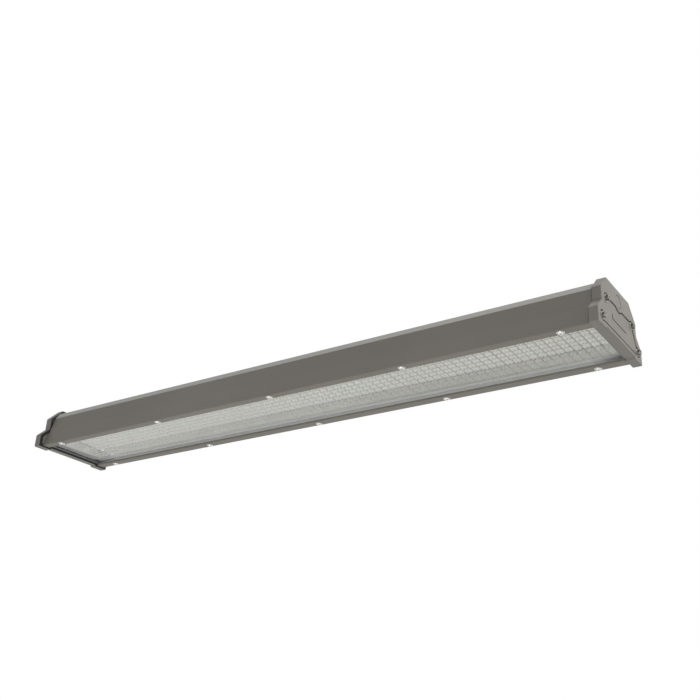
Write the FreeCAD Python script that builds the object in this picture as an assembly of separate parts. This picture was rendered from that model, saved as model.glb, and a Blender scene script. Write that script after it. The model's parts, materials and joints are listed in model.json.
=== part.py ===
import FreeCAD
import Part
import math
import os

# Linear LED high bay light: an extruded, finned aluminium housing between two die-cast end caps,
# with a recessed glass window underneath and a field of square-pitched lenses behind it.
# Millimetres. X runs along the light, Y across it, Z up. The origin is under the middle of the
# light, on the plane of the end caps' feet.

V = FreeCAD.Vector

# ---- driving dimensions ----
cap_span = 1186.0          # outer face to outer face of the two end caps
cap_thick = 14.6
seal_thick = 1.2           # the caps' gaskets and beads, between each cap and the extrusion's end
cap_face = cap_span / 2
cap_back = cap_face - cap_thick
body_end = cap_back - seal_thick

# end cap outline, one half: foot, sloped shoulder, upright side, top chamfer
cap_half_width = 90.0
cap_height = 89.0
foot_top = 24.0
shoulder_y = 71.5
shoulder_z = 41.6
chamfer_z = 64.3
chamfer_y = 46.8
foot_inner = 60.0
foot_step = 3.0            # the underside between the feet is this much higher
foot_round = 5.5
rim_round = 1.8
bead_inset = 0.4           # black bead let into the cap's back, just inside its rim
bead_wide, bead_deep = 5.6, 2.5

# extruded housing
lip_z = 3.0                # underside of the housing's skirt and of the glass rails
lip_y = 81.6
crease_y, crease_z = 70.4, 36.0
strip_y, strip_z = 62.3, 66.6
top_y, top_z = 54.4, 79.0
skirt = 1.8                # wall of the skirt that hides the rail's outer edge
rail_thick = 4.0
rail_inner = 64.8
pocket_y = 68.8            # glass pocket
ledge_y = 65.2
ledge_z = 16.0
web_low, web_high = 40.6, 45.0
chamber_low_y, chamber_high_y = 65.0, 59.0
chamber_top = 68.0
fin_root = 71.5
fin_gap, fin_pitch, fin_count = 5.2, 7.6, 5
fin_start = 51.6
fin_root_round = 1.0

# screws
end_screws_at = [(52.5, 51.6), (72.3, 15.8)]
end_screw_r = 2.5
end_screw_len = 50.0
port_r = 2.55
boss_r = 4.8
port_rib = 2.6             # half the thickness of the rib under the upper ports
rail_screw_x = [-529.7, -264.6, 0.0, 264.6, 529.7]
rail_screw_y = 73.2
rail_screw_r = 2.5
rail_hole_top = 12.4
rail_washer_r, rail_washer_thick = 6.2, 0.8
rail_head_r, rail_head_low = 5.0, 0.3
rail_socket_r, rail_socket_top = 1.5, 1.4
hang_spacing = 700.0
hang_r, hang_depth = 3.4, 9.5

# window
glass_low, glass_thick = 8.0, 4.0
glass_half = (body_end - 1.4, 67.4)
glass_corner = 3.0
gasket_lip = 4.0
reflector_thick = 1.0

# optics: modules in a row, each a grid of lenses
module_count = 6
lens_cols, lens_rows = 13, 9
lens_pitch_x, lens_pitch_y = 14.6, 13.85
module_pitch = 190.4
module_half_y = 63.0
lens_plate_low, lens_plate_high = 37.0, 39.0
lens_tall = 3.6
lens_flat = 0.46           # top facet of a lens as a share of the pitch
board_thick = web_low - lens_plate_high
board_screw_r, board_head_r = 1.5, 2.7
board_screw_at = (80.3, 48.475)
board_head_deep, board_screw_deep = 1.2, 3.6

# terminal cover on each end cap
cover_top, cover_low = 55.4, 12.0
cover_gap, drain_gap = 2.0, 3.4
ear_r = 7.0
plug_z, plug_r, plug_head_r = 68.5, 8.0, 9.9
plug_sunk, plug_gap, plug_head_tall = 0.5, 0.6, 1.5
dip_r, dip_blend = 17.6, 8.0
rebate_x = cap_face - 4.0
cover_back = rebate_x + 1.0
cover_face = cap_face - 1.2    # the cover lies sunk in the cap's rebate
panel_tall, panel_half = 1.2, 30.0
panel_low, panel_high, panel_round = 28.5, 38.5, 4.5
washer_r, washer_thick = 5.3, 1.0
head_r, head_tall = 4.35, 4.8
socket_r, socket_deep = 2.3, 2.6

# gear in the upper chamber
driver_half = (140.0, 29.0)
driver_tall = 20.0
driver_at = [-170.0, 170.0]
tab, tab_half, tab_thick = 12.0, 15.0, 2.0
driver_screw_r, driver_head_r, driver_head_tall = 2.0, 3.8, 2.6
driver_screw_deep = 3.4
surge_at, surge_half, surge_tall = -400.0, (30.0, 14.0), 18.0
poles, pole_pitch, block_tall = 5, 8.0, 16.0
block_at = (500.0, 524.0)


def arc_corner(before, corner, after, radius):
    """Ends and middle of the arc that rounds a corner."""
    a = (before - corner).normalize()
    b = (after - corner).normalize()
    half = a.getAngle(b) / 2
    reach = radius / math.tan(half)
    centre = corner + (a + b).normalize() * (radius / math.sin(half))
    middle = centre + (corner - centre).normalize() * radius
    return corner + a * reach, middle, corner + b * reach


def outline(points, x=0.0):
    """Closed wire in the YZ plane from (y, z, corner radius) points."""
    at = [V(x, p[0], p[1]) for p in points]
    radii = [p[2] if len(p) > 2 else 0.0 for p in points]
    count = len(at)
    corners = []
    for i in range(count):
        if radii[i] > 0:
            corners.append(arc_corner(at[i - 1], at[i], at[(i + 1) % count], radii[i]))
        else:
            corners.append((at[i], None, at[i]))
    edges = []
    for i in range(count):
        start, middle, end = corners[i]
        if middle is not None:
            edges.append(Part.Arc(start, middle, end).toShape())
        onward = corners[(i + 1) % count][0]
        if end.distanceToPoint(onward) > 1e-6:
            edges.append(Part.LineSegment(end, onward).toShape())
    return Part.Wire(edges)


def mirrored(half):
    """Full outline from its +Y half, listed from the bottom up."""
    return half + [(-p[0],) + tuple(p[1:]) for p in reversed(half)]


def plate(points, x0, x1):
    return Part.Face(outline(points, x0)).extrude(V(x1 - x0, 0, 0))


def box(x0, x1, y0, y1, z0, z1):
    return Part.makeBox(x1 - x0, y1 - y0, z1 - z0, V(x0, y0, z0))


def rod(radius, start, end):
    along = end - start
    return Part.makeCylinder(radius, along.Length, start, along)


def lengthwise_rod(radius, y, z, x0, x1):
    return rod(radius, V(x0, y, z), V(x1, y, z))


def both_sides(places):
    return [(s * y, z) for y, z in places for s in (-1, 1)]


def turned(shape):
    """The same piece for the other end of the light."""
    return shape.copy().rotate(V(0, 0, 0), V(0, 0, 1), 180)


def save(name, shape):
    shape.exportStep("parts/%s.step" % name)


# ---- extruded housing ----
def outer_at(z):
    """Y of the housing's outer side between the lip and the crease."""
    return lip_y + (crease_y - lip_y) * (z - lip_z) / (crease_z - lip_z)


rail_top = lip_z + rail_thick


def housing_half():
    """Section of one side, from the cavity's top corner round the leg and over the fins."""
    half = [(ledge_y, web_low), (ledge_y, ledge_z), (pocket_y, ledge_z), (pocket_y, rail_top),
            (outer_at(rail_top) - skirt, rail_top), (lip_y - skirt, lip_z), (lip_y, lip_z),
            (crease_y, crease_z), (strip_y, strip_z), (top_y, top_z)]
    for k in range(fin_count):
        y = fin_start - k * fin_pitch
        half += [(y, top_z), (y, fin_root, fin_root_round), (y - fin_gap, fin_root, fin_root_round),
                 (y - fin_gap, top_z)]
    return half


def housing():
    section = Part.Face(outline(mirrored(housing_half())))
    chamber = [(chamber_low_y, web_high, 1.5), (chamber_high_y, chamber_top - 2, 2.0),
               (chamber_high_y - 2, chamber_top, 1.5)]
    section = section.cut(Part.Face(outline(mirrored(chamber))))
    port_y, port_z = end_screws_at[0]
    for s in (-1, 1):
        rib = [(s * port_y - port_rib, web_high - 1), (s * port_y + port_rib, web_high - 1),
               (s * port_y + port_rib, port_z), (s * port_y - port_rib, port_z)]
        boss = Part.Face(Part.Wire(Part.makeCircle(boss_r, V(0, s * port_y, port_z), V(1, 0, 0))))
        section = section.fuse([Part.Face(outline(rib)), boss])
    for y, z in both_sides(end_screws_at):
        section = section.cut(Part.Face(Part.Wire(Part.makeCircle(port_r, V(0, y, z), V(1, 0, 0)))))
    section = section.removeSplitter()
    section.translate(V(-body_end, 0, 0))
    body = section.extrude(V(2 * body_end, 0, 0))
    if body.ShapeType == "Compound":
        body = body.Solids[0]
    holes = []
    for x in rail_screw_x:
        for s in (-1, 1):
            y = s * rail_screw_y
            holes.append(rod(rail_screw_r, V(x, y, rail_top - 1), V(x, y, rail_hole_top)))
    for s in (-1, 1):
        x = s * hang_spacing / 2
        holes.append(rod(hang_r, V(x, 0, top_z - hang_depth), V(x, 0, top_z + 1)))
    for x, y in board_screw_places():
        holes.append(rod(board_screw_r, V(x, y, web_low - 1), V(x, y, web_low + board_screw_deep + 0.2)))
    for x, y in driver_screw_places():
        holes.append(rod(driver_screw_r, V(x, y, web_high - driver_screw_deep - 0.2), V(x, y, web_high + 1)))
    return body.cut(holes)


# ---- glass window, its seal and rails ----
def window_glass():
    x, y = glass_half
    pane = box(-x, x, -y, y, glass_low, glass_low + glass_thick)
    upright = [e for e in pane.Edges if abs(e.Vertexes[0].Z - e.Vertexes[1].Z) > 1]
    return pane.makeFillet(glass_corner, upright)


def glass_gasket():
    """One moulded U-section ring round the edge of the pane."""
    ring = box(-body_end, body_end, -pocket_y, pocket_y, rail_top, ledge_z)
    x = body_end - gasket_lip
    ring = ring.cut(box(-x, x, -ledge_y, ledge_y, rail_top - 1, ledge_z + 1))
    return ring.cut(window_glass())


def glass_rail(side):
    """Flat bar that holds the pane's long edge, bevelled to slip behind the skirt."""
    play = 0.1
    bar = [(rail_inner + 0.6, lip_z), (lip_y - skirt - play, lip_z),
           (outer_at(rail_top) - skirt - play, rail_top), (rail_inner, rail_top), (rail_inner, lip_z + 0.6)]
    rail = plate([(side * p[0], p[1]) for p in bar], -body_end, body_end)
    return rail.cut([rod(rail_screw_r + 0.2, V(x, side * rail_screw_y, 0), V(x, side * rail_screw_y, 9))
                     for x in rail_screw_x])


def rail_washer(x, y):
    ring = rod(rail_washer_r, V(x, y, lip_z - rail_washer_thick), V(x, y, lip_z))
    return ring.cut(rod(rail_screw_r + 0.2, V(x, y, 0), V(x, y, 5)))


def rail_screw(x, y):
    """Button head with a hexagon socket, and its shank up into the leg."""
    seat = lip_z - rail_washer_thick
    edge, shoulder = V(rail_head_r, 0, seat), V(rail_head_r, 0, seat - 0.6)
    brow, flat = V(0.68 * rail_head_r, 0, rail_head_low + 0.45), V(0.34 * rail_head_r, 0, rail_head_low)
    low, high = V(0, 0, rail_head_low), V(0, 0, seat)
    lines = [Part.LineSegment(a, b).toShape() for a, b in ((high, edge), (edge, shoulder))]
    lines.append(Part.Arc(shoulder, brow, flat).toShape())
    lines += [Part.LineSegment(a, b).toShape() for a, b in ((flat, low), (low, high))]
    head = Part.Face(Part.Wire(lines)).revolve(V(0, 0, 0), V(0, 0, 1), 360)
    screw = head.fuse(rod(rail_screw_r, V(0, 0, seat), V(0, 0, rail_hole_top - 0.2)))
    hexagon = Part.makePolygon([V(rail_socket_r * math.cos(k * math.pi / 3),
                                  rail_socket_r * math.sin(k * math.pi / 3), 0) for k in range(7)])
    screw = screw.cut(Part.Face(hexagon).extrude(V(0, 0, rail_socket_top)))
    screw.translate(V(x, y, 0))
    return screw


# ---- optics ----
def module_places():
    return [(i - (module_count - 1) / 2) * module_pitch for i in range(module_count)]


def board_screw_places():
    dx, dy = board_screw_at
    return [(x + sx * dx, sy * dy) for x in module_places() for sx in (-1, 1) for sy in (-1, 1)]


def ridge_profile(count, pitch, low, high):
    """Row of lens sections side by side: sloped flanks and a flat crown, as (along, z) points."""
    crown = pitch * lens_flat / 2
    points = []
    for i in range(count):
        middle = (i - (count - 1) / 2) * pitch
        points += [(middle - pitch / 2, high), (middle - crown, low), (middle + crown, low)]
    points.append((count * pitch / 2, high))
    return points


def lens_module():
    """Moulded lens plate: crossed ridges leave a faceted lens over every emitter."""
    low = lens_plate_low - lens_tall
    half_x = lens_cols * lens_pitch_x / 2
    half_y = lens_rows * lens_pitch_y / 2
    top = lens_plate_low + 0.5
    rows = [V(-half_x, y, z) for y, z in ridge_profile(lens_rows, lens_pitch_y, low, lens_plate_low)]
    rows += [V(-half_x, half_y, top), V(-half_x, -half_y, top)]
    cols = [V(x, -half_y, z) for x, z in ridge_profile(lens_cols, lens_pitch_x, low, lens_plate_low)]
    cols += [V(half_x, -half_y, top), V(-half_x, -half_y, top)]
    along = Part.Face(Part.makePolygon(rows + [rows[0]])).extrude(V(2 * half_x, 0, 0))
    across = Part.Face(Part.makePolygon(cols + [cols[0]])).extrude(V(0, 2 * half_y, 0))
    lenses = along.common(across)
    base = box(-half_x, half_x, -module_half_y, module_half_y, lens_plate_low, lens_plate_high)
    return lenses.fuse(base).removeSplitter()


def led_board(x):
    half_x = lens_cols * lens_pitch_x / 2
    board = box(x - half_x, x + half_x, -module_half_y, module_half_y, lens_plate_high, web_low)
    cuts = [board_screw(sx, sy, 0.05) for sx, sy in board_screw_places() if abs(sx - x) < half_x]
    return board.cut(cuts)


def board_screw(x, y, play=0.0):
    """Countersunk screw, flush with the board's lens side."""
    low, neck = V(x, y, lens_plate_high), V(x, y, lens_plate_high + board_head_deep)
    cone = Part.makeCone(board_head_r + play, board_screw_r + play, board_head_deep, low, V(0, 0, 1))
    return cone.fuse(rod(board_screw_r + play, neck, V(x, y, web_low + board_screw_deep)))


def side_reflector(side):
    y0, y1 = sorted((side * ledge_y, side * (ledge_y - reflector_thick)))
    return box(-body_end, body_end, y0, y1, ledge_z, web_low)


def end_reflector(side):
    x0, x1 = sorted((side * body_end, side * (body_end - reflector_thick)))
    y = ledge_y - reflector_thick
    return box(x0, x1, -y, y, ledge_z, web_low)


# ---- end caps, seals and terminal covers, drawn for the +X end ----
def cap_points():
    half = [(foot_inner - 1.2, foot_step, 2.0), (foot_inner, 0.0, 1.8),
            (cap_half_width, 0.0, 3.0), (cap_half_width, foot_top, foot_round),
            (shoulder_y, shoulder_z, 3.0), (shoulder_y, chamfer_z, 4.0), (chamfer_y, cap_height, 4.0)]
    return mirrored(half)


def dip_face(x, top, radius, blend):
    """Face that cuts the dip round the entry plug: arcs tangent to it and to the cover's top edge."""
    rise = plug_z - top + blend
    blend_y = math.sqrt((radius + blend) ** 2 - rise ** 2)
    share = radius / (radius + blend)
    edges = []
    for s in (-1, 1):
        centre, edge = V(x, s * blend_y, top - blend), V(x, s * blend_y, top)
        touch = V(x, s * blend_y * share, plug_z - rise * share)
        middle = centre + ((edge - centre) + (touch - centre)).normalize() * blend
        edges.append(Part.Arc(edge, middle, touch).toShape())
        edges.append(Part.LineSegment(V(x, s * blend_y, plug_z), edge).toShape())
    left, right = edges[0].Vertexes[-1].Point, edges[2].Vertexes[-1].Point
    edges.append(Part.Arc(left, V(x, 0, plug_z - radius), right).toShape())
    edges.append(Part.LineSegment(V(x, -blend_y, plug_z), V(x, blend_y, plug_z)).toShape())
    return Part.Face(Part.Wire(Part.__sortEdges__(edges)))


def cover_block(x0, x1, grow=0.0, drop=0.0):
    """Trapezoid with a round ear at each screw and a smooth dip round the entry plug."""
    (upper_y, upper_z), (lower_y, lower_z) = end_screws_at
    half = [(lower_y, cover_low - drop), (lower_y + 1 + grow, lower_z), (upper_y + 1 + grow, upper_z),
            (upper_y, cover_top + grow)]
    face = Part.Face(outline(mirrored(half), x0))
    ears = [Part.Face(Part.Wire(Part.makeCircle(ear_r + grow, V(x0, y, z), V(1, 0, 0))))
            for y, z in both_sides(end_screws_at)]
    dip = dip_face(x0, cover_top + grow, dip_r - grow, dip_blend + grow)
    return face.fuse(ears).cut(dip).removeSplitter().extrude(V(x1 - x0, 0, 0))


def screw_holes(radius, x0, x1):
    return [lengthwise_rod(radius, y, z, x0, x1) for y, z in both_sides(end_screws_at)]


def wiring_space(x0, x1):
    return plate(mirrored([(60.0, 15.0, 4.0), (42.0, 45.0, 4.0)]), x0, x1)


def end_cap():
    body = plate(cap_points(), cap_back, cap_face)
    rim = [e for e in body.Edges if all(abs(v.X - cap_face) < 1e-6 for v in e.Vertexes)]
    body = body.makeFillet(rim_round, rim)
    rebate = cover_block(rebate_x, cap_face + 1, cover_gap, drain_gap)
    relief = plate(mirrored([(14.0, 40.0, 3.0), (14.0, 80.0, 3.0)]), cap_back - 1, cap_back + 6)
    entry = lengthwise_rod(plug_r, 0, plug_z, cap_back, cap_face + 1)
    seat = lengthwise_rod(plug_head_r + plug_gap, 0, plug_z, plug_seat, cap_face + 1)
    cuts = [rebate, wiring_space(cap_back + 4, cap_face), relief, entry, seat, rim_bead()]
    return body.cut(cuts + screw_holes(end_screw_r + 0.25, cap_back - 1, cap_face + 1))


def rim_bead():
    """Silicone bead in the groove round the back of the cap, proud of it by the gasket's thickness."""
    outer = Part.Face(outline(cap_points(), body_end).makeOffset2D(-bead_inset))
    inner = Part.Face(outline(cap_points(), body_end).makeOffset2D(-bead_inset - bead_wide))
    return outer.cut(inner).extrude(V(seal_thick + bead_deep, 0, 0))


def end_seal():
    """Thin gasket inside the bead, under the extrusion's end; open to the upper chamber."""
    back = 0.5
    half = [(outer_at(rail_top + back) - back, rail_top + back), (crease_y - back, crease_z),
            (strip_y - back, strip_z), (chamber_high_y, fin_root - back)]
    seal = plate(mirrored(half), body_end, cap_back)
    window = plate(mirrored([(12.0, 47.0, 2.0), (12.0, 66.0, 2.0)]), body_end - 1, cap_back + 1)
    return seal.cut([window, rim_bead()] + screw_holes(end_screw_r, body_end - 1, cap_back + 1))


def cover_seal():
    seal = cover_block(rebate_x, cover_back)
    space = wiring_space(rebate_x - 1, cover_back + 1)
    return seal.cut([space] + screw_holes(end_screw_r + 0.25, rebate_x - 1, cover_back + 1))


def terminal_cover():
    """Sunk cover with a bare raised panel across its middle."""
    cover = cover_block(cover_back, cover_face)
    rim = [e for e in cover.Edges if all(abs(v.X - cover_face) < 1e-6 for v in e.Vertexes)]
    cover = cover.makeChamfer(0.4, rim)
    corners = [(panel_half, panel_low, panel_round), (panel_half, panel_high, panel_round)]
    panel = plate(mirrored(corners), cover_face - 0.4, cover_face + panel_tall)
    brim = [e for e in panel.Edges if all(abs(v.X - cover_face - panel_tall) < 1e-6 for v in e.Vertexes)]
    cover = cover.fuse(panel.makeFillet(0.5, brim))
    return cover.cut(screw_holes(end_screw_r + 0.25, cover_back - 1, cover_face + 1))


def end_washers():
    return [lengthwise_rod(washer_r, y, z, cover_face, cover_face + washer_thick)
            .cut(lengthwise_rod(end_screw_r + 0.2, y, z, cover_face - 1, cover_face + 3))
            for y, z in both_sides(end_screws_at)]


def end_screw(y, z):
    """Socket head cap screw, its tip in the extrusion's screw port."""
    seat = cover_face + washer_thick
    head = lengthwise_rod(head_r, y, z, seat, seat + head_tall)
    crown = [e for e in head.Edges if all(abs(v.X - seat - head_tall) < 1e-6 for v in e.Vertexes)]
    head = head.makeChamfer(0.4, crown)
    socket = Part.makePolygon([V(seat + head_tall, y + socket_r * math.cos(k * math.pi / 3),
                                 z + socket_r * math.sin(k * math.pi / 3)) for k in range(7)])
    head = head.cut(Part.Face(socket).extrude(V(-socket_deep, 0, 0)))
    return head.fuse(lengthwise_rod(end_screw_r, y, z, seat - end_screw_len, seat))


plug_seat = cap_face - plug_sunk - plug_head_tall


def entry_plug():
    """Press-in blanking plug: a round head sunk in its seat, and its spigot in the cable entry."""
    head = lengthwise_rod(plug_head_r, 0, plug_z, plug_seat, plug_seat + plug_head_tall)
    rim = [e for e in head.Edges
           if all(abs(v.X - plug_seat - plug_head_tall) < 1e-6 for v in e.Vertexes)]
    spigot = lengthwise_rod(plug_r - 0.05, 0, plug_z, plug_seat - 7.0, plug_seat)
    return head.makeFillet(0.4, rim).fuse(spigot)


# ---- gear in the upper chamber ----
def driver_screw_places():
    reach = driver_half[0] + tab / 2
    return [(x + s * reach, 0.0) for x in driver_at for s in (-1, 1)]


def led_driver(x):
    """Potted metal case with a fixing tab at each end."""
    half_x, half_y = driver_half
    z0, z1 = web_high, web_high + driver_tall
    case = plate(mirrored([(half_y, z0), (half_y, z1 - 3), (half_y - 3, z1)]), x - half_x, x + half_x)
    foot = box(x - half_x - tab, x + half_x + tab, -tab_half, tab_half, z0, z0 + tab_thick)
    holes = [rod(driver_screw_r + 0.2, V(sx, sy, z0 - 1), V(sx, sy, z0 + 3))
             for sx, sy in driver_screw_places() if abs(sx - x) < half_x + tab]
    return case.fuse(foot).removeSplitter().cut(holes)


def driver_screw(x, y):
    z = web_high + tab_thick
    head = rod(driver_head_r, V(x, y, z), V(x, y, z + driver_head_tall))
    return head.fuse(rod(driver_screw_r, V(x, y, web_high - driver_screw_deep), V(x, y, z)))


def surge_protector():
    half_x, half_y = surge_half
    case = box(surge_at - half_x, surge_at + half_x, -half_y, half_y, web_high, web_high + surge_tall)
    upright = [e for e in case.Edges if abs(e.Vertexes[0].Z - e.Vertexes[1].Z) > 1]
    return case.makeFillet(2.0, upright)


def terminal_block():
    """Five-pole block with a wire mouth and a release hole at each pole."""
    x0, x1 = block_at
    half = poles * pole_pitch / 2
    block = box(x0, x1, -half, half, web_high, web_high + block_tall)
    cuts = []
    for k in range(poles):
        y = (k - (poles - 1) / 2) * pole_pitch
        cuts.append(box(x1 - 8, x1 + 1, y - 2.5, y + 2.5, web_high + 4, web_high + 9))
        cuts.append(box(x0 + 5, x0 + 9, y - 1.5, y + 1.5, web_high + 12, web_high + block_tall + 1))
    return block.cut(cuts)


def wiring_loom(y, radius, reach):
    """Straight bundle of insulated leads lying on the web beside the gear."""
    return lengthwise_rod(radius, y, web_high + radius, -reach, reach)


# ---- build ----
def at_both_ends(name, shape):
    save(name + "_right", shape)
    save(name + "_left", turned(shape))


os.makedirs("parts", exist_ok=True)

save("housing_extrusion", housing())
save("window_glass", window_glass())
save("glass_gasket", glass_gasket())
for side, word in ((-1, "front"), (1, "rear")):
    y = side * rail_screw_y
    save("glass_rail_" + word, glass_rail(side))
    save("rail_washers_" + word, Part.makeCompound([rail_washer(x, y) for x in rail_screw_x]))
    save("rail_screws_" + word, Part.makeCompound([rail_screw(x, y) for x in rail_screw_x]))
    save("side_reflector_" + word, side_reflector(side))
for side, word in ((-1, "left"), (1, "right")):
    save("end_reflector_" + word, end_reflector(side))

module = lens_module()
for i, x in enumerate(module_places()):
    lens = module.copy()
    lens.translate(V(x, 0, 0))
    save("lens_module_%d" % (i + 1), lens)
    save("led_board_%d" % (i + 1), led_board(x))
save("board_screws", Part.makeCompound([board_screw(x, y) for x, y in board_screw_places()]))

at_both_ends("end_cap", end_cap())
at_both_ends("rim_bead", rim_bead())
at_both_ends("end_seal", end_seal())
at_both_ends("cover_seal", cover_seal())
at_both_ends("terminal_cover", terminal_cover())
at_both_ends("end_washers", Part.makeCompound(end_washers()))
at_both_ends("end_screws", Part.makeCompound([end_screw(y, z) for y, z in both_sides(end_screws_at)]))
at_both_ends("entry_plug", entry_plug())

for i, x in enumerate(driver_at):
    save("led_driver_%d" % (i + 1), led_driver(x))
save("driver_screws", Part.makeCompound([driver_screw(x, y) for x, y in driver_screw_places()]))
save("surge_protector", surge_protector())
at_both_ends("terminal_block", terminal_block())
save("mains_loom", wiring_loom(-40.0, 3.5, 520.0))
save("led_loom", wiring_loom(40.0, 2.5, 480.0))
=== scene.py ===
import json
import math
import bpy
import numpy as np
from mathutils import Matrix, Vector
from mathutils.geometry import tessellate_polygon


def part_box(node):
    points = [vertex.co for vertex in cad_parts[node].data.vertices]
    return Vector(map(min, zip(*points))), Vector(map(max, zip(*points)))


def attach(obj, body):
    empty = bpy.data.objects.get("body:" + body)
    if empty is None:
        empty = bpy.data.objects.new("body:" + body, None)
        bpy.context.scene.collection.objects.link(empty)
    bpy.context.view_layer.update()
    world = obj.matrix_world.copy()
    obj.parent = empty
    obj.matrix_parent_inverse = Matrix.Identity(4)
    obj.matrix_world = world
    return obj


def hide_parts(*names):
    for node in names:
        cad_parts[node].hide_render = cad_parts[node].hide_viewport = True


# Looks for the linear high bay light: rounded housing section, domed lens plates, turned screws,
# and a finish for every part of the frame. Sizes in the dictionaries are millimetres, except for
# the studio's at the end, which are metres.

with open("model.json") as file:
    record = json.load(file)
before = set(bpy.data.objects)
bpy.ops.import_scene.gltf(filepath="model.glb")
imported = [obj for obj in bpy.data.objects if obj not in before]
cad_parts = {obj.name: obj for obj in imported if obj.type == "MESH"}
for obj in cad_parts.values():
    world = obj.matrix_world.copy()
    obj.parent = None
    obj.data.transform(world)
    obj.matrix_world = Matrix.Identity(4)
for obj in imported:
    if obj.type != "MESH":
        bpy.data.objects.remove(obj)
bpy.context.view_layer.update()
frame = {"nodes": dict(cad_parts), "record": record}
nodes = frame["nodes"]
mm = 0.001
endWay = {"left": -1, "right": 1}  # the way each end of the light faces along X
sharpAngle = math.radians(35)  # edges that turn by more than this are shaded sharp
print("frame:", len(nodes), "nodes")


def toLinear(code):  # sRGB hex to linear RGBA
    parts = [int(code[i:i + 2], 16) / 255 for i in (1, 3, 5)]
    return [c / 12.92 if c <= 0.04045 else ((c + 0.055) / 1.055) ** 2.4 for c in parts] + [1.0]


def tones(first, second):  # a Mix node's settings between two sRGB tones
    return {"data_type": "RGBA", 6: toLinear(first), 7: toLinear(second)}


def addNode(tree, kind, settings=None, links=None):  # a node with its settings and incoming links
    node = tree.nodes.new(kind)
    for key, value in (settings or {}).items():
        if isinstance(key, str) and hasattr(node, key):
            setattr(node, key, value)
        else:
            node.inputs[key].default_value = value
    for key, source in (links or {}).items():
        tree.links.new(source, node.inputs[key])
    return node


def startMaterial(name):  # an empty node tree and the Object coordinates
    material = bpy.data.materials.new(name)
    material.use_nodes = True
    tree = material.node_tree
    tree.nodes.clear()
    return material, tree, addNode(tree, "ShaderNodeTexCoord").outputs["Object"]


def closeMaterial(tree, settings, links):  # the Principled shader that the pattern feeds, on the output
    shader = addNode(tree, "ShaderNodeBsdfPrincipled", settings, links)
    addNode(tree, "ShaderNodeOutputMaterial", links={"Surface": shader.outputs[0]})


def buildMesh(name, verts, faces, bodySlot, material=None):  # smooth, with its slot's finish or another
    mesh = bpy.data.meshes.new(name)
    mesh.from_pydata(verts.tolist(), [], faces)
    mesh.shade_smooth()
    mesh.materials.append(material or finishes[bodySlot])
    mesh.update()
    piece = bpy.data.objects.new(name, mesh)
    bpy.context.scene.collection.objects.link(piece)
    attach(piece, "root")
    return piece


def bandCorners(first, second):  # corners of the quads between two closed rings, numbers or normals
    return np.stack([first, np.roll(first, -1, axis=0), np.roll(second, -1, axis=0), second], axis=1)


def filledPlane(loops):  # triangles that fill the first loop around the others, wound left
    flat = np.concatenate(loops)
    triangles = np.array(tessellate_polygon([[Vector((a, b, 0)) for a, b in loop] for loop in loops]))
    a, b, c = (flat[triangles[:, k]] for k in range(3))
    area = (b - a)[:, 0] * (c - a)[:, 1] - (b - a)[:, 1] * (c - a)[:, 0]
    return triangles if area.sum() > 0 else triangles[:, ::-1]


# Finishes. A span is the stretch of a noise that a Map Range node spreads over its output.

evenSpan, cloudSpan, fleckSpan = {1: 0.3, 2: 0.7}, {1: 0.35, 2: 0.65}, {1: 0.4, 2: 0.7}

# The coat's band is painted light: the housing's top is drawn lighter, standing in for the light from above.
coatLook = {"tone": "#79766F", "toneOther": "#75726B", "roughness": (0.54, 0.66), "grain": 2.4,
            "cloud": 160.0, "relief": 0.05, "peel": 0.3, "band": "#A7A6A2", "bandFrom": 66.4, "bandTo": 67.0}
castLook = {"tone": "#7B7872", "toneOther": "#77746E", "roughness": (0.54, 0.66), "grain": 3.0,
            "cloud": 60.0, "relief": 0.08, "peel": 0.3}


def powderCoat(name, look):
    # Powder coat, sprayed dry and baked: an even satin grey with a fine orange-peel skin. The real
    # peel is under 1 mm, so the grain is drawn a few times as coarse to show.
    material, tree, place = startMaterial(name)
    cloud = addNode(tree, "ShaderNodeTexNoise", {"Scale": 1 / (look["cloud"] * mm), "Detail": 3.0},
                    {"Vector": place})
    grain = addNode(tree, "ShaderNodeTexNoise", {"Scale": 1 / (look["grain"] * mm), "Detail": 2.0},
                    {"Vector": place})
    spread = addNode(tree, "ShaderNodeMapRange", cloudSpan, {0: cloud.outputs[0]})
    low, high = look["roughness"]
    sheen = addNode(tree, "ShaderNodeMapRange", {**evenSpan, 3: low, 4: high}, {0: grain.outputs[0]})
    bump = addNode(tree, "ShaderNodeBump", {"Strength": look["relief"], "Distance": look["peel"] * mm},
                   {"Height": grain.outputs[0]})
    colour = addNode(tree, "ShaderNodeMix", tones(look["tone"], look["toneOther"]), {0: spread.outputs[0]})
    if "band" in look:  # painted light: the top strip and fins are drawn lighter than the sides, for the light that falls on them from above
        height = addNode(tree, "ShaderNodeSeparateXYZ", links={0: place}).outputs[2]
        paintedLightShare = addNode(tree, "ShaderNodeMapRange", {1: look["bandFrom"] * mm, 2: look["bandTo"] * mm},
                        {0: height})
        colour = addNode(tree, "ShaderNodeMix", {"data_type": "RGBA", 7: toLinear(look["band"])},
                         {0: paintedLightShare.outputs[0], 6: colour.outputs[2]})
    closeMaterial(tree, {"Specular IOR Level": 0.3}, {"Base Color": colour.outputs[2],
                                                      "Roughness": sheen.outputs[0],
                                                      "Normal": bump.outputs[0]})
    return material


# The end tone is painted shade, for the gasket's ends beside the caps.
siliconeLook = {"grey": ("#D2D3D3", "#C8C9CA"), "black": ("#121313", "#1A1B1B"), "roughness": 0.6,
                "bloom": 14.0, "grain": 3.5, "relief": 0.06, "pore": 0.2, "endShadeTone": "#77787A",
                "endShadeFrom": 520.0, "endShadeTo": 572.0}


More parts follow.
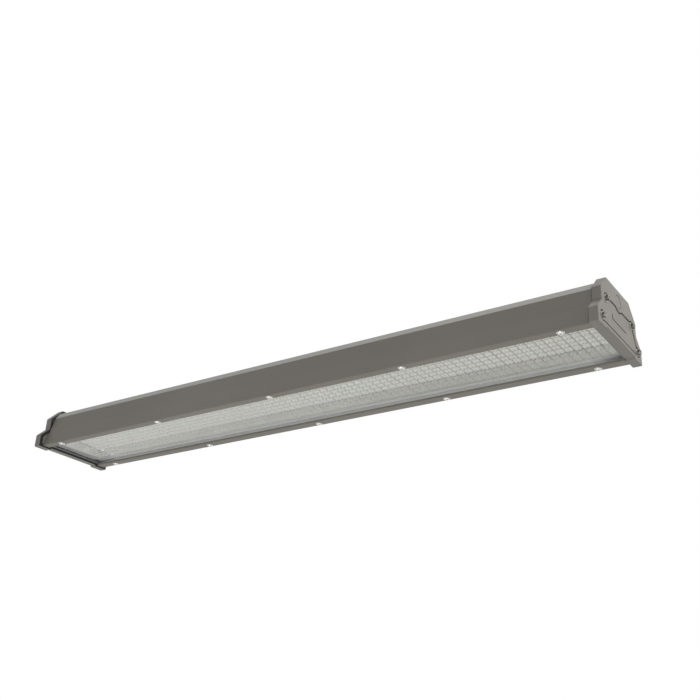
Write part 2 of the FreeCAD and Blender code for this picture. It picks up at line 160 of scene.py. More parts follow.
def silicone(name, pair, paintedShadeEnds=False):
    # Silicone rubber, moulded: a dull skin that scatters light softly, with faint bloom patches. On the
    # glass gasket shade is painted in: it turns darker towards the ends of the light, beside the caps.
    look = siliconeLook
    material, tree, place = startMaterial(name)
    bloom = addNode(tree, "ShaderNodeTexNoise", {"Scale": 1 / (look["bloom"] * mm), "Detail": 4.0},
                    {"Vector": place})
    skin = addNode(tree, "ShaderNodeTexNoise", {"Scale": 1 / (look["grain"] * mm)}, {"Vector": place})
    bump = addNode(tree, "ShaderNodeBump", {"Strength": look["relief"], "Distance": look["pore"] * mm},
                   {"Height": skin.outputs[0]})
    colour = addNode(tree, "ShaderNodeMix", tones(pair[0], pair[1]), {0: bloom.outputs[0]})
    # painted shade: darker towards the ends of the light
    if paintedShadeEnds:
        along = addNode(tree, "ShaderNodeSeparateXYZ", links={0: place}).outputs[0]
        reach = addNode(tree, "ShaderNodeMath", {"operation": "ABSOLUTE"}, {0: along})
        share = addNode(tree, "ShaderNodeMapRange", {1: look["endShadeFrom"] * mm, 2: look["endShadeTo"] * mm},
                        {0: reach.outputs[0]})
        colour = addNode(tree, "ShaderNodeMix", {"data_type": "RGBA", 7: toLinear(look["endShadeTone"])},
                         {0: share.outputs[0], 6: colour.outputs[2]})
    closeMaterial(tree, {"Roughness": look["roughness"], "IOR": 1.41},
                  {"Base Color": colour.outputs[2], "Normal": bump.outputs[0]})
    return material


def linedMetal(tree, look, pattern):  # bare metal whose lines vary its tone and its gloss
    low, high = look["roughness"]
    sheen = addNode(tree, "ShaderNodeMapRange", {**evenSpan, 3: low, 4: high}, {0: pattern})
    colour = addNode(tree, "ShaderNodeMix", tones(look["tone"], look["toneOther"]), {0: pattern})
    closeMaterial(tree, {"Metallic": 1.0}, {"Base Color": colour.outputs[2], "Roughness": sheen.outputs[0]})


sheetLook = {"tone": "#E2E1DF", "toneOther": "#D7D6D4", "roughness": (0.09, 0.22), "line": 1.6,
             "stretch": 0.02}


def anodisedSheet(name):
    # Anodised aluminium sheet, rolled: satin mirror whose rolling lines run along the light and
    # smear what it mirrors. The real lines are far finer than drawn.
    material, tree, place = startMaterial(name)
    along = addNode(tree, "ShaderNodeMapping", {"Scale": (sheetLook["stretch"], 1.0, 1.0)},
                    {"Vector": place})
    line = addNode(tree, "ShaderNodeTexNoise", {"Scale": 1 / (sheetLook["line"] * mm), "Detail": 3.0},
                   {"Vector": along.outputs[0]})
    linedMetal(tree, sheetLook, line.outputs[0])
    return material


brightSteel = {"tone": "#E4E3E0", "toneOther": "#CFCECB", "roughness": (0.1, 0.24), "line": 0.9}
dullSteel = {"tone": "#8E8B85", "toneOther": "#73706B", "roughness": (0.28, 0.42), "line": 0.9}


def turnedSteel(name, look):
    # Stainless steel, cold headed and turned: bright with a fine grey drag of tool lines. The end
    # screws are the duller ones, blasted, so they read dark with a light rim.
    material, tree, place = startMaterial(name)
    line = addNode(tree, "ShaderNodeTexNoise", {"Scale": 1 / (look["line"] * mm), "Detail": 2.0},
                   {"Vector": place})
    linedMetal(tree, look, line.outputs[0])
    return material


# The valley tone is painted shade, for the valleys between the domes.
acrylicLook = {"tone": "#C4C2BD", "warm": "#C8C3BE", "cool": "#BEC2BF", "roughness": 0.14, "skin": 0.03,
               "drift": 38.0, "fleck": 9.0, "valleyShade": "#74736D", "valleyShadeFull": 38.3, "valleyShadeClear": 36.6}


def mouldedAcrylic(name):
    # Acrylic, injection moulded over a white board: pale and glassy, with a faint drift of green and
    # rose where the optic splits the light. Shade is painted in: it is greyer up in the valleys.
    look = acrylicLook
    material, tree, place = startMaterial(name)
    drift = addNode(tree, "ShaderNodeTexNoise", {"Scale": 1 / (look["drift"] * mm), "Detail": 2.0},
                    {"Vector": place})
    fleck = addNode(tree, "ShaderNodeTexNoise", {"Scale": 1 / (look["fleck"] * mm), "Detail": 1.0},
                    {"Vector": place})
    wide = addNode(tree, "ShaderNodeMapRange", cloudSpan, {0: drift.outputs[0]})
    near = addNode(tree, "ShaderNodeMapRange", fleckSpan, {0: fleck.outputs[0]})
    hue = addNode(tree, "ShaderNodeMix", tones(look["warm"], look["cool"]), {0: wide.outputs[0]})
    mix = addNode(tree, "ShaderNodeMix", {"data_type": "RGBA", 7: toLinear(look["tone"])},
                  {0: near.outputs[0], 6: hue.outputs[2]})
    # painted shade: greyer near the plate, up in the valleys between the domes
    height = addNode(tree, "ShaderNodeSeparateXYZ", links={0: place}).outputs[2]
    deep = addNode(tree, "ShaderNodeMapRange", {1: look["valleyShadeClear"] * mm, 2: look["valleyShadeFull"] * mm},
                   {0: height})
    shaded = addNode(tree, "ShaderNodeMix", {"data_type": "RGBA", 7: toLinear(look["valleyShade"])},
                     {0: deep.outputs[0], 6: mix.outputs[2]})
    closeMaterial(tree, {"Roughness": look["roughness"], "IOR": 1.49, "Coat Weight": 1.0,
                         "Coat Roughness": look["skin"]}, {"Base Color": shaded.outputs[2]})
    return material


paneLook = {"tint": "#FEFEFD", "tintOther": "#FCFDFC", "mirror": "#FFFFFF", "normalShare": 0.04,
            "ripple": 90.0, "roughness": 0.02}


def toughenedGlass(name):
    # Float glass, toughened: clear with a faint green cast, and a mirror at shallow angles. The share
    # it mirrors is 0.04 plus the rest times (1 - cosine of the angle) to the fifth.
    look = paneLook
    material, tree, place = startMaterial(name)
    ripple = addNode(tree, "ShaderNodeTexNoise", {"Scale": 1 / (look["ripple"] * mm)}, {"Vector": place})
    tint = addNode(tree, "ShaderNodeMix", tones(look["tint"], look["tintOther"]), {0: ripple.outputs[0]})
    facing = addNode(tree, "ShaderNodeLayerWeight", {"Blend": 0.5}).outputs["Facing"]
    rise = addNode(tree, "ShaderNodeMath", {"operation": "POWER", 1: 5.0}, {0: facing})
    share = addNode(tree, "ShaderNodeMapRange", {3: look["normalShare"], 4: 1.0}, {0: rise.outputs[0]})
    through = addNode(tree, "ShaderNodeBsdfTransparent", links={"Color": tint.outputs[2]})
    mirror = addNode(tree, "ShaderNodeBsdfGlossy", {"Color": toLinear(look["mirror"]),
                                                    "Roughness": look["roughness"]})
    both = addNode(tree, "ShaderNodeMixShader", links={0: share.outputs[0], 1: through.outputs[0],
                                                       2: mirror.outputs[0]})
    addNode(tree, "ShaderNodeOutputMaterial", links={"Surface": both.outputs[0]})
    return material


plainLooks = {
    "white solder resist board": ("#E4E5E0", "#DADBD6", 0.35, 20.0),
    "moulded white polyamide": ("#D6D5CE", "#CBCAC3", 0.45, 5.0),
    "pressed aluminium driver case": ("#B9BBBC", "#A6A8AA", 0.38, 4.0),
    "extruded lead insulation": ("#2A2A2B", "#353536", 0.5, 6.0),
}


def plainFinish(name, metallic=0.0):
    # Hidden gear: a plain finish with a slight mottle of the stated size.
    first, second, rough, size = plainLooks[name]
    material, tree, place = startMaterial(name)
    mottle = addNode(tree, "ShaderNodeTexNoise", {"Scale": 1 / (size * mm), "Detail": 3.0},
                     {"Vector": place})
    colour = addNode(tree, "ShaderNodeMix", tones(first, second), {0: mottle.outputs[0]})
    closeMaterial(tree, {"Roughness": rough, "Metallic": metallic}, {"Base Color": colour.outputs[2]})
    return material


finishes = {
    "housing_paint": powderCoat("powder coat on extrusion with painted light top", coatLook),
    "cap_paint": powderCoat("powder coat on casting", castLook),
    "window_glass": toughenedGlass("toughened float glass"),
    "grey_silicone": silicone("grey silicone moulded with painted end shade", siliconeLook["grey"], paintedShadeEnds=True),
    "black_silicone": silicone("black silicone moulded", siliconeLook["black"]),
    "reflector_sheet": anodisedSheet("anodised aluminium rolled"),
    "lens_plastic": mouldedAcrylic("clear acrylic moulded with painted valley shade"),
    "white_board": plainFinish("white solder resist board"),
    "steel_fastener": turnedSteel("stainless steel turned", brightSteel),
    "driver_case": plainFinish("pressed aluminium driver case", 0.9),
    "white_plastic": plainFinish("moulded white polyamide"),
    "lead_insulation": plainFinish("extruded lead insulation"),
}
for row in frame["record"]["subparts"]:
    mesh = nodes[row["node"]].data
    mesh.materials.clear()
    mesh.materials.append(finishes[row["material_slot"]])
print("finishes:", len(finishes))


# Housing: one rounded section carried along the light.

housing = {"ledgeY": 65.2, "ledgeZ": 16.0, "webLow": 40.6, "webHigh": 45.0, "pocketY": 68.8, "railTop": 7.0,
           "skirt": 1.8, "crease": (70.4, 36.0), "strip": (62.3, 66.6), "topY": 54.4, "finStart": 51.6,
           "finPitch": 7.6, "finGap": 5.2, "finRoot": 71.5, "finRounds": (0.7, 1.0), "fins": 5,
           "chamber": (65.0, 59.0, 68.0), "chamberSlant": 2.0, "chamberRounds": (1.5, 1.2),
           "port": (72.3, 15.8), "portRadius": 2.55, "edge": 0.4, "soft": 1.2, "creaseRadius": 30.0}
hanging = {"spacing": 700.0, "radius": 3.4, "depth": 9.5, "lead": 0.5, "sides": 32}


def roundedLoop(points, steps=4):
    # Closed loop of (a, b, radius) corners. A corner p between unit directions u and v to its
    # neighbours becomes an arc about p + (u + v)/|u + v| * radius / sin(half the angle between
    # them), whose points are the two tangent directions blended by sin((1-t)w), sin(tw) over sin(w).
    corner = np.array([p[:2] for p in points], float)
    radius = np.array([p[2] for p in points], float)[:, None]
    u = np.roll(corner, 1, axis=0) - corner
    v = np.roll(corner, -1, axis=0) - corner
    u /= np.linalg.norm(u, axis=1, keepdims=True)
    v /= np.linalg.norm(v, axis=1, keepdims=True)
    half = np.arccos(np.clip((u * v).sum(axis=1, keepdims=True), -1, 1)) / 2
    middle = corner + (u + v) / np.linalg.norm(u + v, axis=1, keepdims=True) * radius / np.sin(half)
    reach = radius / np.tan(half)
    first, last = corner + u * reach - middle, corner + v * reach - middle
    turn = np.pi - 2 * half
    t = np.linspace(0, 1, steps + 1)[None, :, None]
    w = turn[:, :, None]
    arc = (np.sin((1 - t) * w) * first[:, None, :] + np.sin(t * w) * last[:, None, :]) / np.sin(w)
    outward = np.sign((u[:, 0] * v[:, 1] - u[:, 1] * v[:, 0]))[:, None, None]
    normal = arc / np.linalg.norm(arc, axis=2, keepdims=True) * -outward
    return (middle[:, None, :] + arc).reshape(-1, 2), normal.reshape(-1, 2)


def ringLoop(y, z, radius, count=24):  # y + r cos a, z + r sin a, wound against the outer loop
    a = np.linspace(0, -2 * np.pi, count, endpoint=False)
    spoke = np.stack([np.cos(a), np.sin(a)], axis=1)
    return np.array([y, z]) + radius * spoke, -spoke


def mirrorHalf(half):
    return half + [(-p[0], p[1], p[2]) for p in reversed(half)]


def holedStrip(verts, rim):
    # The flat strip between the four vertices of rim, with a blind hole for each hanging screw:
    # centre + (r cos a, r sin a, z), with r and z down a short lead-in and the bore.
    h = hanging
    sides, radius, lead, top = h["sides"], h["radius"] * mm, h["lead"] * mm, verts[rim[0], 2]
    a = np.linspace(0, 2 * np.pi, sides, endpoint=False)
    spoke = np.column_stack([np.cos(a), np.sin(a), np.zeros(sides)])
    up = np.array([0, 0, 1.0])
    sloped = (up - spoke) / math.sqrt(2)
    rows = ((radius + lead, top), (radius, top - lead), (radius, top - h["depth"] * mm))
    here = np.arange(sides)
    points, faces, normals = [], [], []
    outline, numbers = [verts[rim, :2]], rim.tolist()
    for k, way in enumerate((-1, 1)):
        start = len(verts) + k * sides * len(rows)
        centre = np.array([way * h["spacing"] * mm / 2, 0, 0])
        points += [centre + spoke * r + up * z for r, z in rows]
        for row, lean in enumerate((sloped, -spoke)):
            low = start + row * sides + here
            faces += bandCorners(low, low + sides).tolist()
            normals.append(bandCorners(lean, lean).reshape(-1, 3))
        faces.append((start + 2 * sides + here).tolist())
        normals.append(np.tile(up, (sides, 1)))
        outline.append(points[-len(rows)][:, :2])
        numbers += (start + here).tolist()
    fill = filledPlane(outline)
    faces += np.array(numbers)[fill].tolist()
    normals.append(np.tile(up, (fill.size, 1)))
    return np.concatenate(points), faces, np.concatenate(normals)


def extruded(name, node, loops, strip):
    # Loops in the YZ plane carried along the node: the point (x, y, z) has x at either end and (y, z)
    # on a loop. The first loop is the outside, the rest are bores. The ends are filled, and the wall
    # that starts at the loop's point number strip gets the hanging holes.
    lowest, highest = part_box(node)
    flat = np.concatenate([p for p, n in loops])
    flatNormal = np.concatenate([n for p, n in loops])
    total = len(flat)
    verts = np.concatenate([np.column_stack([np.full(total, x), flat]) for x in (lowest.x, highest.x)])
    walls, start = [], 0
    for size in [len(p) for p, n in loops]:
        here = start + np.arange(size)
        walls.append(bandCorners(here, here + total))
        start += size
    walls = np.concatenate(walls)
    holed, holedFaces, holedNormals = holedStrip(verts, walls[strip])
    walls = np.delete(walls, strip, axis=0)
    ends = filledPlane([p for p, n in loops])
    faces = walls.tolist() + ends[:, ::-1].tolist() + (ends + total).tolist() + holedFaces
    piece = buildMesh(name, np.concatenate([verts, holed]), faces, "housing_paint")
    side = np.column_stack([np.zeros(total), flatNormal])
    wallNormals = np.concatenate([side, side])[walls.ravel()]
    endNormals = np.repeat([[-1.0, 0, 0], [1.0, 0, 0]], ends.size, axis=0)
    piece.data.normals_split_custom_set(np.concatenate([wallNormals, endNormals, holedNormals]).tolist())
    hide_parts(node)
    return piece


def housingSection():
    h = housing
    lowest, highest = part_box("housing_extrusion")
    lipY, lipZ, topZ = highest.y / mm, lowest.z / mm, highest.z / mm
    creaseY, creaseZ = h["crease"]
    outerY = lipY + (creaseY - lipY) * (h["railTop"] - lipZ) / (creaseZ - lipZ)
    e = h["edge"]
    half = [(h["ledgeY"], h["webLow"], e), (h["ledgeY"], h["ledgeZ"], e), (h["pocketY"], h["ledgeZ"], e),
            (h["pocketY"], h["railTop"], e), (outerY - h["skirt"], h["railTop"], e),
            (lipY - h["skirt"], lipZ, e), (lipY, lipZ, e), (creaseY, creaseZ, h["creaseRadius"]),
            (*h["strip"], h["soft"]), (h["topY"], topZ, h["soft"])]
    tip, root = h["finRounds"]
    for k in range(h["fins"]):
        y = h["finStart"] - k * h["finPitch"]
        inner = y - h["finGap"]
        half += [(y, topZ, tip), (y, h["finRoot"], root), (inner, h["finRoot"], root), (inner, topZ, tip)]
    outer = roundedLoop(mirrorHalf(half))
    strip = len(outer[0]) // 2 - 1  # the middle rib's top
    lowY, highY, top = h["chamber"]
    slant, (lowRound, highRound) = h["chamberSlant"], h["chamberRounds"]
    chamber = mirrorHalf([(lowY, h["webHigh"], lowRound), (highY, top - slant, highRound),
                          (highY - slant, top, highRound)])
    portY, portZ = h["port"]
    bores = [roundedLoop(chamber[::-1])] + [ringLoop(s * portY, portZ, h["portRadius"]) for s in (-1, 1)]
    return [(p * mm, n) for p, n in [outer] + bores], strip


skin = extruded("housing_skin", "housing_extrusion", *housingSection())
print("housing:", len(skin.data.polygons), "faces")


# End caps and terminal covers: rings of the outline stacked along X, every edge rounded.

capShape = {"footInner": 60.0, "footSlope": 1.2, "footStep": 3.0, "footTop": 24.0, "shoulder": (71.5, 41.6),
            "chamfer": (46.8, 64.3), "footRounds": (2.0, 1.8, 1.9, 5.5), "rounds": (3.0, 4.0, 4.0),
            "cornerSteps": 6, "leastRound": 0.05, "rim": 1.8, "rimRows": 6, "backEdge": 0.3, "backRows": 4,
            "beadInset": 0.4, "beadWide": 5.6, "beadDeep": 2.5, "mouth": 1.3, "rebate": 4.0,
            "seatRadius": 10.5, "seatDeep": 2.0, "seatSteps": 64, "plugZ": 68.5}
coverShape = {"screws": ((52.5, 51.6), (72.3, 15.8)), "ear": 7.0, "top": 55.4, "low": 12.0, "dip": 17.6,
              "blend": 8.0, "sideOut": 1.0, "gap": 1.3, "drain": 3.0, "edge": 1.0, "sunk": 1.2,
              "panelHalf": 30.0, "panelZ": (28.5, 38.5), "panelRound": 4.5, "panelEdge": 0.5,
              "panelFoot": 0.4, "footRows": 4,
              "steps": {"bottom": 11, "ear": 22, "side": 6, "brow": 8, "cup": 9}}


def insetLoop(points, inset):
    # Rounded loop moved inward. Each corner p of a loop wound left about its inside moves by
    # inset * (a + b) / (1 + a.b), with a and b the inward normals of its two edges; an outer corner
    # loses the inset from its radius and an inner corner gains it.
    corner = np.array([p[:2] for p in points], float)
    edge = np.roll(corner, -1, axis=0) - corner
    edge /= np.linalg.norm(edge, axis=1, keepdims=True)
    normal = np.column_stack([-edge[:, 1], edge[:, 0]])
    before, edgeBefore = np.roll(normal, 1, axis=0), np.roll(edge, 1, axis=0)
    share = 1 + (normal * before).sum(axis=1, keepdims=True)
    moved = corner + inset * (normal + before) / share
    outer = edgeBefore[:, 0] * edge[:, 1] - edgeBefore[:, 1] * edge[:, 0] > 0
    radius = np.array([p[2] for p in points]) + np.where(outer, -inset, inset)
    radius = np.maximum(radius, capShape["leastRound"])
    return roundedLoop(np.column_stack([moved, radius]), capShape["cornerSteps"])


def loopNormals(points):  # outward normals of a loop wound left about its inside
    run = np.roll(points, -1, axis=0) - points
    side = np.column_stack([run[:, 1], -run[:, 0]])
    side /= np.linalg.norm(side, axis=1, keepdims=True)
    both = side + np.roll(side, 1, axis=0)
    return both / np.linalg.norm(both, axis=1, keepdims=True)


def arcPoints(y, z, radius, start, end, count):
    a = np.linspace(start, end, count)
    return np.column_stack([y + radius * np.cos(a), z + radius * np.sin(a)])


def between(a, b, count):  # points evenly spaced between a and b, both left out
    return a + np.linspace(0, 1, count + 2)[1:-1, None] * (b - a)


def coverLoop(grow, low):
    # Half the cover's outline, wound left from the middle of its bottom edge: along the bottom,
    # round the lower ear, up the side, round the upper ear, along the top, down into the dip.
    # An arc meets the side line a + t (b - a) where |a + t (b - a) - centre| is the ear's radius.
    c, steps = coverShape, coverShape["steps"]
    (upY, upZ), (downY, downZ) = c["screws"]
    ear, top, plugZ = c["ear"] + grow, c["top"] + grow, capShape["plugZ"]
    dip, blend = c["dip"] - grow, c["blend"] + grow
    out = c["sideOut"] + grow
    a, b = np.array([downY + out, downZ]), np.array([upY + out, upZ])
    run = (b - a) / np.linalg.norm(b - a)
    crossings = []
    for centre, way in ((np.array([downY, downZ]), 1), (np.array([upY, upZ]), -1)):
        along = (centre - a) @ run
        off = a + along * run - centre
        at = off + way * math.sqrt(ear ** 2 - off @ off) * run
        crossings.append(math.atan2(at[1], at[0]))
    left = -math.pi - math.asin((low - downZ) / ear)
    rise = plugZ - top + blend
    blendY = math.sqrt((dip + blend) ** 2 - rise ** 2)
    lower = arcPoints(downY, downZ, ear, left, crossings[0], steps["ear"])
    upper = arcPoints(upY, upZ, ear, crossings[1], math.pi - math.asin((top - upZ) / ear), steps["ear"])
    brow = arcPoints(blendY, top - blend, blend, math.pi / 2, math.atan2(rise, -blendY), steps["brow"])
    cup = arcPoints(0, plugZ, dip, math.atan2(-rise, blendY), -math.pi / 2, steps["cup"] + 1)[1:]
    start = np.array([[0, low]])
    bottom = between(start[0], lower[0], steps["bottom"] - 1)
    side = between(lower[-1], upper[0], steps["side"])
    ledge = between(upper[-1], brow[0], steps["side"])
    half = np.concatenate([start, bottom, lower, side, upper, ledge, brow, cup])
    return np.concatenate([half, half[-2:0:-1] * (-1, 1)])


def layered(name, node, side, rings, bands, lids, bodySlot="cap_paint"):
    # Rings are (x, loop) pairs. A band joins two rings with quads, shaded by the normals given for
    # each; a lid fills the plane between its first ring and the others. The other end of the light
    # takes (x, y, z) to (-x, -y, z). The names of piece and node are given without their side.
    sizes = [len(loop) for x, loop in rings]
    starts = np.concatenate([[0], np.cumsum(sizes)[:-1]])
    verts = np.concatenate([np.column_stack([np.full(len(loop), x), loop]) for x, loop in rings])
    faces, shade = [], []
    for i, j, first, second in bands:
        here = np.arange(sizes[i])
        quads, normals = bandCorners(starts[i] + here, starts[j] + here), bandCorners(first, second)
        a, b, c, d = (verts[quads[:, k]] for k in range(4))
        if (np.cross(c - a, d - b) * normals.sum(axis=1)).sum() < 0:
            quads, normals = quads[:, ::-1], normals[:, ::-1]
        faces += quads.tolist()
        shade.append(normals.reshape(-1, 3))
    for members, facing in lids:
        at = np.concatenate([starts[m] + np.arange(sizes[m]) for m in members])
        triangles = at[filledPlane([rings[m][1] for m in members])][:, ::facing]
        faces += triangles.tolist()
        shade.append(np.tile([float(facing), 0.0, 0.0], (triangles.size, 1)))
    turn = np.array([endWay[side], endWay[side], 1])
    piece = buildMesh(name + side, verts * mm * turn, faces, bodySlot)
    piece.data.normals_split_custom_set((np.concatenate(shade) * turn).tolist())
    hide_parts(node + side)
    return piece


def tilted(flat, out, ahead):  # normals that mix the loop's own with the X direction
    return np.column_stack([np.full(len(flat), ahead), flat * out])


def roundedRows(loopAt, x, radius, insideEdge, rows=5):
    # Rows of a quarter round between a face that looks along X and a wall. For an outer edge the loop
    # moves in by radius * (1 - cos t) as x falls by radius * (1 - sin t); an inner edge moves out.
    rings, normals = [], []
    for t in np.linspace(0, np.pi / 2, rows):
        move = radius * (1 - math.cos(t))
        loop, flat = loopAt(move if insideEdge else -move)
        rings.append((x - radius * (1 - math.sin(t)), loop))
        normals.append(tilted(flat, -math.cos(t) if insideEdge else math.cos(t), math.sin(t)))
    return rings, normals


def chained(start, normals):  # bands that join consecutive rings
    return [(start + k, start + k + 1, normals[k], normals[k + 1]) for k in range(len(normals) - 1)]


def capOutline():  # corners of the cap's outline with their radii, wound left about its inside
    s, foot = capShape, capShape["footRounds"]
    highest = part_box("end_cap_right")[1]
    wide, tall = highest.y / mm, highest.z / mm
    return mirrorHalf([(s["footInner"] - s["footSlope"], s["footStep"], foot[0]),
                       (s["footInner"], 0.0, foot[1]), (wide, 0.0, foot[2]), (wide, s["footTop"], foot[3]),
                       (*s["shoulder"], s["rounds"][0]),
                       (s["shoulder"][0], s["chamfer"][1], s["rounds"][1]),
                       (s["chamfer"][0], tall, s["rounds"][2])])


def capSkin(side):
    s, c = capShape, coverShape
    lowest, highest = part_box("end_cap_right")
    face, back = highest.x / mm, lowest.x / mm
    full = capOutline()
    rings, normals = [], []
    for t in np.linspace(0, np.pi / 2, s["backRows"]):  # soft back edge
        loop, flat = insetLoop(full, s["backEdge"] * (1 - math.sin(t)))
        rings.append((back + s["backEdge"] * (1 - math.cos(t)), loop))
        normals.append(tilted(flat, math.sin(t), -math.cos(t)))
    front = roundedRows(lambda move: insetLoop(full, -move), face, s["rim"], False, s["rimRows"])
    rings, normals = rings + front[0], normals + front[1]
    bands, outerFront = chained(0, normals), len(rings) - 1
    near, far = s["beadInset"], s["beadInset"] + s["beadWide"]
    deep = back + s["beadDeep"]
    groove = [(near, back), (near, deep), (far, deep), (far, back)]
    first = len(rings)
    loops = [insetLoop(full, inset) for inset, x in groove]
    rings += [(x, loop) for (inset, x), (loop, flat) in zip(groove, loops)]
    rearward = [tilted(flat, 0.0, -1.0) for loop, flat in loops]
    bands += [(0, first, rearward[0], rearward[0]),
              (first, first + 1, tilted(loops[0][1], -1.0, 0.0), tilted(loops[1][1], -1.0, 0.0)),
              (first + 1, first + 2, rearward[1], rearward[2]),
              (first + 2, first + 3, tilted(loops[2][1], 1.0, 0.0), tilted(loops[3][1], 1.0, 0.0))]
    lids = [([first + 3], -1)]

    def mouthAt(grow):
        loop = coverLoop(c["gap"] + grow, c["low"] - c["drain"] - grow)
        return loop, loopNormals(loop)

    def seatAt(grow):
        loop = arcPoints(0, s["plugZ"], s["seatRadius"] + grow, 0, 2 * np.pi, s["seatSteps"] + 1)[:-1]
        return loop, loopNormals(loop)

    mouths = []
    for loopAt, floor in ((mouthAt, face - s["rebate"]), (seatAt, face - s["seatDeep"])):
        start = len(rings)
        sunk, shade = roundedRows(loopAt, face, s["mouth"], True)
        loop, flat = loopAt(0)
        rings += sunk + [(floor, loop)]
        bands += chained(start, shade)
        bands.append((start, len(rings) - 1, tilted(flat, -1.0, 0.0), tilted(flat, -1.0, 0.0)))
        lids.append(([len(rings) - 1], 1))
        mouths.append(start + len(sunk) - 1)
    lids.append(([outerFront] + mouths, 1))
    return layered("cap_skin_", "end_cap_", side, rings, bands, lids)


def coverSkin(side):
    c = coverShape
    lowest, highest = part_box("terminal_cover_right")
    back, top = lowest.x / mm, highest.x / mm
    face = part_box("end_cap_right")[1].x / mm - c["sunk"]

    def edgeAt(grow):
        loop = coverLoop(grow, c["low"] - grow)
        return loop, loopNormals(loop)

    low, high = c["panelZ"]
    corners = mirrorHalf([(c["panelHalf"], z, c["panelRound"]) for z in (low, high)])
    rings, normals = roundedRows(edgeAt, face, c["edge"], False)
    loop, flat = edgeAt(0)
    rings, normals = [(back, loop)] + rings, [tilted(flat, 1.0, 0.0)] + normals
    bands, edge = chained(0, normals), len(rings) - 1
    start = len(rings)
    shade = []
    for t in np.linspace(0, np.pi / 2, c["footRows"]):  # hollow where the panel rises from the cover
        loop, flat = insetLoop(corners, -c["panelFoot"] * (1 - math.sin(t)))
        rings.append((face + c["panelFoot"] * (1 - math.cos(t)), loop))
        shade.append(tilted(flat, math.sin(t), math.cos(t)))
    crown = roundedRows(lambda move: insetLoop(corners, -move), top, c["panelEdge"], False)
    rings, shade = rings + crown[0], shade + crown[1]
    bands += chained(start, shade)
    lids = [([0], -1), ([edge, start], 1), ([len(rings) - 1], 1)]
    return layered("cover_skin_", "terminal_cover_", side, rings, bands, lids)


for side in endWay:
    cap, cover = capSkin(side), coverSkin(side)
print("end caps:", len(cap.data.polygons), "faces, covers:", len(cover.data.polygons), "faces")


# End reflectors: a wall with a flange turned in beside the lens plates.

flange = {"reach": 5.2, "thick": 0.8, "low": 38.2, "bend": 0.35, "rows": 4}


def endReflector(side):
    # Section in X and Z, carried along Y: the wall's inner line runs up to the bend, turns through
    # (x - bend * (1 - cos t), z + bend * sin t), and runs out along the flange.
    f = flange
    lowest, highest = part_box("end_reflector_right")
    inner, outer, low = lowest.x / mm, highest.x / mm, lowest.z / mm
    t = np.linspace(0, np.pi / 2, f["rows"])
    bend = np.column_stack([inner - f["bend"] * (1 - np.cos(t)), f["low"] - f["bend"] * (1 - np.sin(t))])
    tip = inner - f["reach"]
    over = f["low"] + f["thick"]
    ends = [(tip, f["low"]), (tip, over), (outer, over), (outer, low)]
    section = np.concatenate([[(inner, low)], bend, ends])
    count = len(section)
    verts = np.concatenate([np.column_stack([section[:, 0], np.full(count, y / mm), section[:, 1]])
                            for y in (lowest.y, highest.y)])
    here = np.arange(count)
    walls = bandCorners(here, here + count)
    ends = filledPlane([section])
    faces = walls.tolist() + ends.tolist() + (ends + count)[:, ::-1].tolist()
    turn = (endWay[side], endWay[side], 1)
    piece = buildMesh("end_wall_" + side, verts * mm * turn, faces, "reflector_sheet")
    piece.data.set_sharp_from_angle(angle=sharpAngle)
    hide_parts("end_reflector_" + side)


for side in endWay:
    endReflector(side)
print("end reflectors:", len(endWay))


# Rim beads: silicone cords in the caps' backs, sloped away from the edge.

bead = {"slope": 1.5, "slopeSeen": 0.9, "soft": 0.5}


def rimBead(side):
    # Rings stacked along X as the caps' are: out of the groove at the outer wall, up the slope to
    # the proud face, across it, down the inner wall and across the groove's floor. Each row has its
    # X, its inset, and how far its normal leans outward and along X.
    lowest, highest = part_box("rim_bead_right")
    proud, floor = lowest.x / mm, highest.x / mm
    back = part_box("end_cap_right")[0].x / mm
    near, far = capShape["beadInset"], capShape["beadInset"] + capShape["beadWide"]
    soft = bead["soft"]
    rows = [(floor, near, 1.0, 0.0), (back, near, 0.85, -0.5),
            (proud + soft, near + bead["slopeSeen"], 0.6, -0.8), (proud, near + bead["slope"], 0.15, -1.0),
            (proud, far - soft, -0.15, -1.0), (proud + soft, far, -0.9, -0.4), (floor, far, -1.0, 0.0)]
    rings, shade = [], []
    for x, inset, out, ahead in rows:
        loop = insetLoop(capOutline(), inset)[0]
        rings.append((x, loop))
        shade.append(tilted(loopNormals(loop), out, ahead) / math.hypot(out, ahead))
    under = tilted(shade[0][:, 1:], 0.0, 1.0)
    bands = chained(0, shade) + [(len(rings) - 1, 0, under, under)]
    layered("rim_cord_", "rim_bead_", side, rings, bands, [], "black_silicone")


for side in endWay:
    rimBead(side)
print("rim beads:", len(endWay))


# Lens plates: a field of rounded square domes.

lens = {"cols": 13, "rows": 9, "tall": 5.0, "steps": (8, 6), "square": 2.2, "power": 2.4, "steep": 0.62,
        "edgeBand": 0.675, "edgeCut": 0.7, "modules": 6, "dip": 0.78, "dipWide": 0.24}


